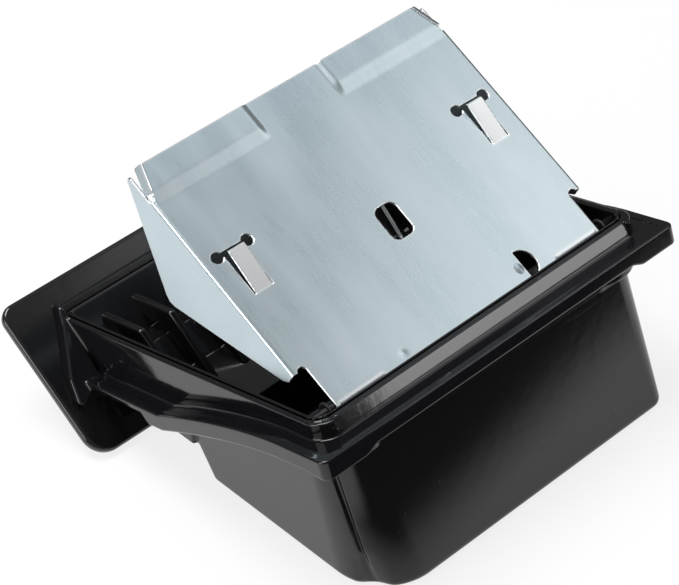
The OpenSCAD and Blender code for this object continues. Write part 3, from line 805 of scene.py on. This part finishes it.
def turned_bar(name, radius, low_x, high_x, y, z):
    """A straight bar along x with a chamfer turned on each end."""
    sides = 40
    stations = [(low_x, radius - CHAMFER), (low_x + CHAMFER, radius), (high_x - CHAMFER, radius),
                (high_x, radius - CHAMFER)]
    verts, faces = [], []
    for along, r in stations:
        for k in range(sides):
            angle = 2 * math.pi * k / sides
            verts.append((along, y + r * math.cos(angle), z + r * math.sin(angle)))
    for i in range(len(stations) - 1):
        for k in range(sides):
            a, b = i * sides + k, i * sides + (k + 1) % sides
            faces.append((a, b, b + sides, a + sides))
    faces.append(tuple(range(sides - 1, -1, -1)))
    faces.append(tuple(range(3 * sides, 4 * sides)))
    mesh = bpy.data.meshes.new(name)
    mesh.from_pydata(verts, [], faces)
    mesh.transform(mouth)
    mesh.polygons.foreach_set("use_smooth", [i // sides == 1 for i in range(len(faces))])
    return linked(name, mesh)


rod = turned_bar("hinge_rod_body", ROD_R, -ROD_HALF, ROD_HALF, HINGE_Y, HINGE_Z)
pin = turned_bar("spring_pin_body", PIN_R, PIN_LEFT, PIN_RIGHT, PIN_Y, PIN_Z)
for piece, node in ((rod, "hinge_rod"), (pin, "spring_pin")):
    piece.data.materials.append(rod_steel_painted_shade)
    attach(piece, "tray")
    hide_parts(node)

# ---------------------------------------------------------------------------
# The rod's two snap rings: stamped, phosphated and sprung on beside the flap's heel. Each
# is a flat ring with a gap.
# ---------------------------------------------------------------------------
RING_X = 49.2
SNAP_OUT = 2.8
SNAP_WALL = 0.4
SNAP_PLAY = 0.02
SNAP_GAP = math.radians(60)
phosphate = steel("black phosphate", (0.02, 0.02, 0.021, 1), (0.035, 0.035, 0.036, 1), 0.4, 0.6, 0.6)


def pair_of(tree, piece, reach, turn=(0, 0, 0)):
    """Two copies of a piece, one that far out on each side."""
    ends = add_node(tree, "GeometryNodeMeshLine", {
        "Count": 2, "Start Location": along_x(tree, reach, -1),
        "Offset": along_x(tree, reach, 1)}, mode="END_POINTS")
    return copied(tree, ends.outputs[0], piece, turn)


def swept(tree, path, section):
    """A section drawn along a path, with its ends closed."""
    return add_node(tree, "GeometryNodeCurveToMesh", {
        "Curve": path.outputs[0], "Profile Curve": section.outputs[0],
        "Fill Caps": True}).outputs[0]


tree, given = geometry_tree("snap rings", Reach="Float", Middle="Float", Width="Float", Thick="Float")
arc = add_node(tree, "GeometryNodeCurveArc", {
    "Resolution": 48, "Radius": given["Middle"], "Start Angle": -SNAP_GAP,
    "Sweep Angle": 2 * math.pi - SNAP_GAP}, mode="RADIUS")
section = add_node(tree, "GeometryNodeCurvePrimitiveQuadrilateral", {
    "Width": given["Width"], "Height": given["Thick"]}, mode="RECTANGLE")
rings = pair_of(tree, swept(tree, arc, section), given["Reach"], (0, math.radians(90), 0))
finish_tree(tree, rings, given)

snap_rings = linked("snap_rings", bpy.data.meshes.new("snap_rings"))
snap_rings = grown(snap_rings, tree, hinge_place, reach=RING_X,
                   middle=(SNAP_OUT + ROD_R) / 2 + SNAP_PLAY,
                   width=SNAP_OUT - ROD_R - 2 * SNAP_PLAY, thick=SNAP_WALL, material=phosphate)
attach(snap_rings, "tray")
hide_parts("rod_ring_left", "rod_ring_right")

# ---------------------------------------------------------------------------
# The flap's spring: bright wire, wound round the pin. Its lower leg lies against the near
# wall and its upper leg pushes the flap up, where it shows through the flap's window.
# ---------------------------------------------------------------------------
WIRE_R = 0.5
TURNS = 8
TURN_STEPS = 24
COIL_R = 2.85
COIL_LEFT = -8
COIL_PITCH = 1.12
COIL_RIGHT = COIL_LEFT + COIL_PITCH * TURNS
LEG = math.radians(60)
LEG_UP, LEG_UP_STEPS = 38, 8
LEG_DOWN, LEG_DOWN_STEPS = 19.5, 6


def wire_point(x, angle, along=0):
    """A point on the coil, or that far along the leg that leaves it there."""
    return (x, PIN_Y + COIL_R * math.cos(angle) + along * math.cos(LEG),
            PIN_Z + COIL_R * math.sin(angle) + along * math.sin(LEG))


start = LEG + math.pi / 2
wire_path = [wire_point(COIL_LEFT, start, -LEG_DOWN * (1 - k / LEG_DOWN_STEPS))
             for k in range(LEG_DOWN_STEPS)]
wire_path += [wire_point(COIL_LEFT + COIL_PITCH * k / TURN_STEPS,
                         start - 2 * math.pi * k / TURN_STEPS)
              for k in range(TURNS * TURN_STEPS + 1)]
wire_path += [wire_point(COIL_RIGHT, start, LEG_UP * k / LEG_UP_STEPS)
              for k in range(1, LEG_UP_STEPS + 1)]

tree, given = geometry_tree("spring wire", Radius="Float")
path = add_node(tree, "GeometryNodeMeshToCurve", {0: given["Geometry"]})
section = add_node(tree, "GeometryNodeCurvePrimitiveCircle", {
    "Resolution": 16, "Radius": given["Radius"]})
finish_tree(tree, swept(tree, path, section), given)

mesh = bpy.data.meshes.new("flap_spring_wire")
mesh.from_pydata(wire_path, [(i, i + 1) for i in range(len(wire_path) - 1)], [])
wire_steel = steel("spring wire", (0.5, 0.51, 0.52, 1), (0.6, 0.61, 0.62, 1), 0.15, 0.3)
spring = grown(linked("flap_spring_wire", mesh), tree, mouth, radius=WIRE_R, material=wire_steel)
spring.data.polygons.foreach_set("use_smooth", [len(f.vertices) == 4 for f in spring.data.polygons])
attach(spring, "tray")
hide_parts("flap_spring")

# ---------------------------------------------------------------------------
# The fascia's two screws: small zinc-plated pan heads with a cross recess, driven through
# the bin's shelf wall into the panel.
# ---------------------------------------------------------------------------
HEAD_R, HEAD, HEAD_ROUND = 2.1, 1.3, 0.6
THREAD, THREAD_PITCH = 0.12, 0.7
SHANK_END = 2.1
CROSS_HALF, CROSS_REACH, CROSS_DEPTH = 0.28, 1.15, 0.75


def screw_field(x, y, z):
    r = np.hypot(x, y)
    head = round_corner(r - HEAD_R, z - WALL - HEAD, HEAD_ROUND)
    head = np.maximum(head, WALL - z)
    thread = THREAD * np.cos(2 * math.pi * z / THREAD_PITCH - np.arctan2(y, x))
    shank = np.maximum(r - SCREW_R + THREAD - thread, np.maximum(z - WALL - 0.3, -SHANK_END - z))
    cross = np.minimum(np.maximum(np.abs(x) - CROSS_HALF, np.abs(y) - CROSS_REACH),
                       np.maximum(np.abs(y) - CROSS_HALF, np.abs(x) - CROSS_REACH))
    cross = soft_max(cross, WALL + HEAD - CROSS_DEPTH - z, 0.1)
    return soft_max(np.minimum(head, shank), -cross, 0.1)


tree, given = geometry_tree("screws in a row", Reach="Float")
finish_tree(tree, pair_of(tree, given["Geometry"], given["Reach"]), given)

screw_zinc = steel("screw zinc", (0.3, 0.31, 0.32, 1), (0.38, 0.39, 0.4, 1), 0.25, 0.4)
screws = moulded("screws", screw_field, low=(-2.4, -2.4, -2.4), high=(2.4, 2.4, 2.9),
                 pitch=0.08, keep=0.4, place=Matrix.Identity(4))
screws = grown(screws, tree, panel @ Matrix.Translation((0, SCREW_V, 0)), reach=SCREW_X,
               material=screw_zinc)
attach(screws, "tray")
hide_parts("fascia_screws")

# ---------------------------------------------------------------------------
# The stage: a plain white floor, soft lamps and the camera. Reflections see a darker studio
# than the camera does: the world is dimmer to them, and the floor shows them a painted patch of light
# round the object and painted shade in front of it, so that the gloss black mouldings stay black.
# ---------------------------------------------------------------------------
FLOOR_SIZE = 20
WHITE_SHARE = 0.8
AIM = Vector((0, 0.02, 0.04))


def mixed_light(tree, factor, first, second):
    """One shader that goes from the first to the second as the factor goes from 0 to 1."""
    return add_node(tree, "ShaderNodeMixShader", {0: factor, 1: first, 2: second}).outputs[0]


bpy.ops.mesh.primitive_plane_add(size=FLOOR_SIZE)
floor = bpy.context.object
floor.name = "floor"
material = bpy.data.materials.new("floor white")
material.use_nodes = True
tree = material.node_tree
shader = tree.nodes["Principled BSDF"]
shader.inputs["Base Color"].default_value = (0.8, 0.8, 0.8, 1)
shader.inputs["Roughness"].default_value = 1
ray = tree.nodes.new("ShaderNodeLightPath").outputs
# reflections see a painted patch of light on the floor behind and beside the object, and painted
# shade, a near black emission, in front of it
ground = tree.nodes.new("ShaderNodeTexCoord").outputs["Object"]
reach = add_node(tree, "ShaderNodeVectorMath", {0: ground}, operation="LENGTH").outputs["Value"]
front = add_node(tree, "ShaderNodeVectorMath", {0: ground, 1: (-0.45, -1, 0)},
                 operation="DOT_PRODUCT").outputs["Value"]
across = add_node(tree, "ShaderNodeSeparateXYZ", {0: ground}).outputs["X"]
near, behind, beside = (ramp(tree, value, start, end, interpolation_type="SMOOTHSTEP")
                        for value, start, end in ((reach, 0.4, 0.15), (front, 0.102, 0.047),
                                                  (across, -0.07, -0.09)))
painted_light_pool = sums(tree, "MULTIPLY", near, sums(tree, "MAXIMUM", behind, beside))
painted_lit_reflection = sums(tree, "MULTIPLY", ray["Is Glossy Ray"], painted_light_pool)
seen = sums(tree, "MAXIMUM", ray["Is Camera Ray"], painted_lit_reflection)
glow = add_node(tree, "ShaderNodeEmission", {"Strength": 1}).outputs[0]
# a near black emission that only reflections see: painted shade in front of the object
painted_shade_reflection = add_node(tree, "ShaderNodeEmission", {"Color": (0.04, 0.04, 0.045, 1)}).outputs[0]
white = mixed_light(tree, sums(tree, "MULTIPLY", seen, WHITE_SHARE), shader.outputs[0], glow)
painted_shade_share = sums(tree, "SUBTRACT", ray["Is Glossy Ray"], painted_lit_reflection)
tree.links.new(mixed_light(tree, painted_shade_share, white, painted_shade_reflection), tree.nodes["Material Output"].inputs["Surface"])
floor.data.materials.append(material)

world = bpy.data.worlds.new("studio")
bpy.context.scene.world = world
world.use_nodes = True
tree = world.node_tree
soft = tree.nodes["Background"]
soft.inputs["Color"].default_value = (1, 1, 1, 1)
soft.inputs["Strength"].default_value = 0.35
ray = tree.nodes.new("ShaderNodeLightPath").outputs
around = tree.nodes.new("ShaderNodeTexCoord").outputs["Generated"]
height = add_node(tree, "ShaderNodeSeparateXYZ", {0: around}).outputs["Z"]
dome = ramp(tree, height, 0.1, 0.9, 0.12, 0.38, interpolation_type="SMOOTHSTEP")
mirrored = add_node(tree, "ShaderNodeBackground", {"Strength": dome}).outputs[0]
white = add_node(tree, "ShaderNodeBackground", {"Strength": 1}).outputs[0]
through = sums(tree, "MAXIMUM", ray["Is Camera Ray"], ray["Is Transmission Ray"])
studio = mixed_light(tree, ray["Is Glossy Ray"], soft.outputs[0], mirrored)
tree.links.new(mixed_light(tree, through, studio, white), tree.nodes["World Output"].inputs["Surface"])


def softbox(name, place, size, watts, colour=(1, 1, 1)):
    """A rectangular lamp at a place, turned to the object."""
    lamp = bpy.data.lights.new(name, "AREA")
    lamp.shape = "RECTANGLE"
    lamp.color = colour
    lamp.size, lamp.size_y = size
    lamp.energy = watts
    box = linked(name, lamp)
    box.location = place
    box.rotation_euler = (AIM - Vector(place)).to_track_quat("-Z", "Y").to_euler()


softbox("top box", (-0.1, 0.25, 0.8), (0.4, 0.4), 6)
softbox("left box", (-0.8, 0.1, 0.35), (0.5, 0.5), 3.4)
softbox("flap box", (0.51, -0.245, 0.635), (0.36, 0.36), 0.38)
softbox("slope box", (0.49, -0.61, 0.27), (0.35, 0.15), 0.75)
softbox("land box", (0.4, 0.15, 0.73), (0.3, 0.3), 0.28, (0.75, 0.88, 1))

camera = linked("camera", bpy.data.cameras.new("camera"))
camera.data.lens = 129.9
camera.data.sensor_width = 36
camera.data.sensor_fit = "HORIZONTAL"
camera.data.clip_start = 0.01
right, up, back = (0.7341, -0.6764, -0.0596), (0.4728, 0.4462, 0.7599), (-0.4874, -0.5860, 0.6473)
stand = (-0.3269, -0.35449, 0.46478)
camera.matrix_world = Matrix((*zip(right, up, back, stand), (0, 0, 0, 1)))
bpy.context.scene.camera = camera

bpy.context.scene.view_settings.view_transform = "Standard"
